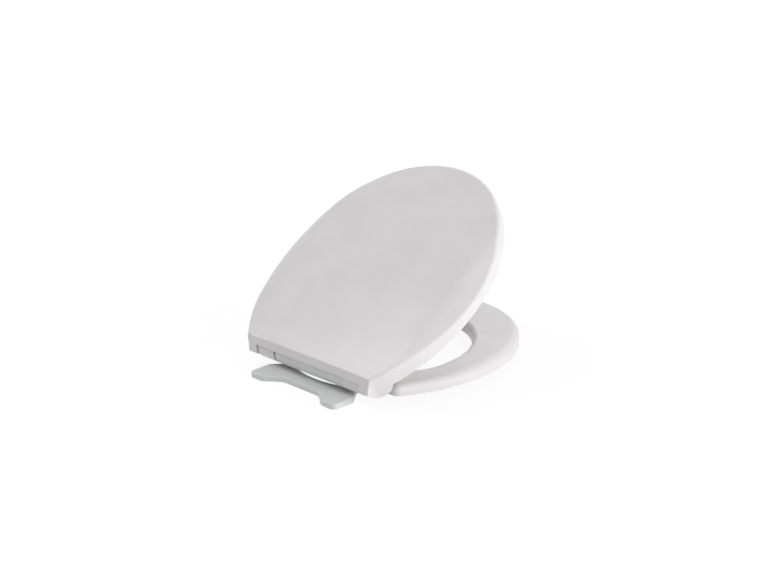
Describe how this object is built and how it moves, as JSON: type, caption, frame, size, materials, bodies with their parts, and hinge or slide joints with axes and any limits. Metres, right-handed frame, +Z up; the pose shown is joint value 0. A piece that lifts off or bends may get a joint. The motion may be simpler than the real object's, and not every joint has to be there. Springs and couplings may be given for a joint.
{
  "type": "toilet seat",
  "caption": "White soft-close toilet seat: faceted lid and open seat ring on a hinge bar with a dog-bone fixing plate, lid part raised.",
  "frame": {"origin": "midway between the two fixing slots on the base plate's underside", "axes": "+Z up, the front of the seat towards -Y, the hinge line along X"},
  "size_m": [0.36, 0.4233, 0.2632],
  "materials": {
    "seat_plastic": "moulded white, polished",
    "hinge_plastic": "moulded white, satin",
    "soft_rubber": "soft matt",
    "steel": "bright",
    "damper_plastic": "matt",
    "seal_rubber": "matt",
    "bearing_plastic": "waxy"
  },
  "bodies": {
    "base": {"base_plate": "hinge_plastic", "hinge_bar": "hinge_plastic", "left_screw": "steel", "right_screw": "steel", "left_grip_pad": "soft_rubber", "right_grip_pad": "soft_rubber", "lid_damper_body": "damper_plastic", "lid_damper_cap": "damper_plastic", "lid_damper_seal": "seal_rubber", "seat_damper_body": "damper_plastic", "seat_damper_cap": "damper_plastic", "seat_damper_seal": "seal_rubber"},
    "seat": {"seat_ring": "seat_plastic", "seat_damper_shaft": "bearing_plastic", "knuckle_bush": "bearing_plastic", "left_side_buffer": "soft_rubber", "right_side_buffer": "soft_rubber", "left_front_buffer": "soft_rubber", "right_front_buffer": "soft_rubber"},
    "cover": {"lid": "seat_plastic", "lid_damper_shaft": "bearing_plastic", "lug_bush": "bearing_plastic", "left_lid_buffer": "soft_rubber", "right_lid_buffer": "soft_rubber"}
  },
  "joints": [
    {"name": "seat_hinge", "type": "hinge", "parent": "base", "child": "seat", "pos_m": [0, -0.0125, 0.031], "axis": [-1, 0, 0], "range_deg": [0, 43]},
    {"name": "lid_hinge", "type": "hinge", "parent": "seat", "child": "cover", "pos_m": [0, -0.0125, 0.031], "axis": [-1, 0, 0], "range_deg": [-35.6, 55.4]}
  ]
}
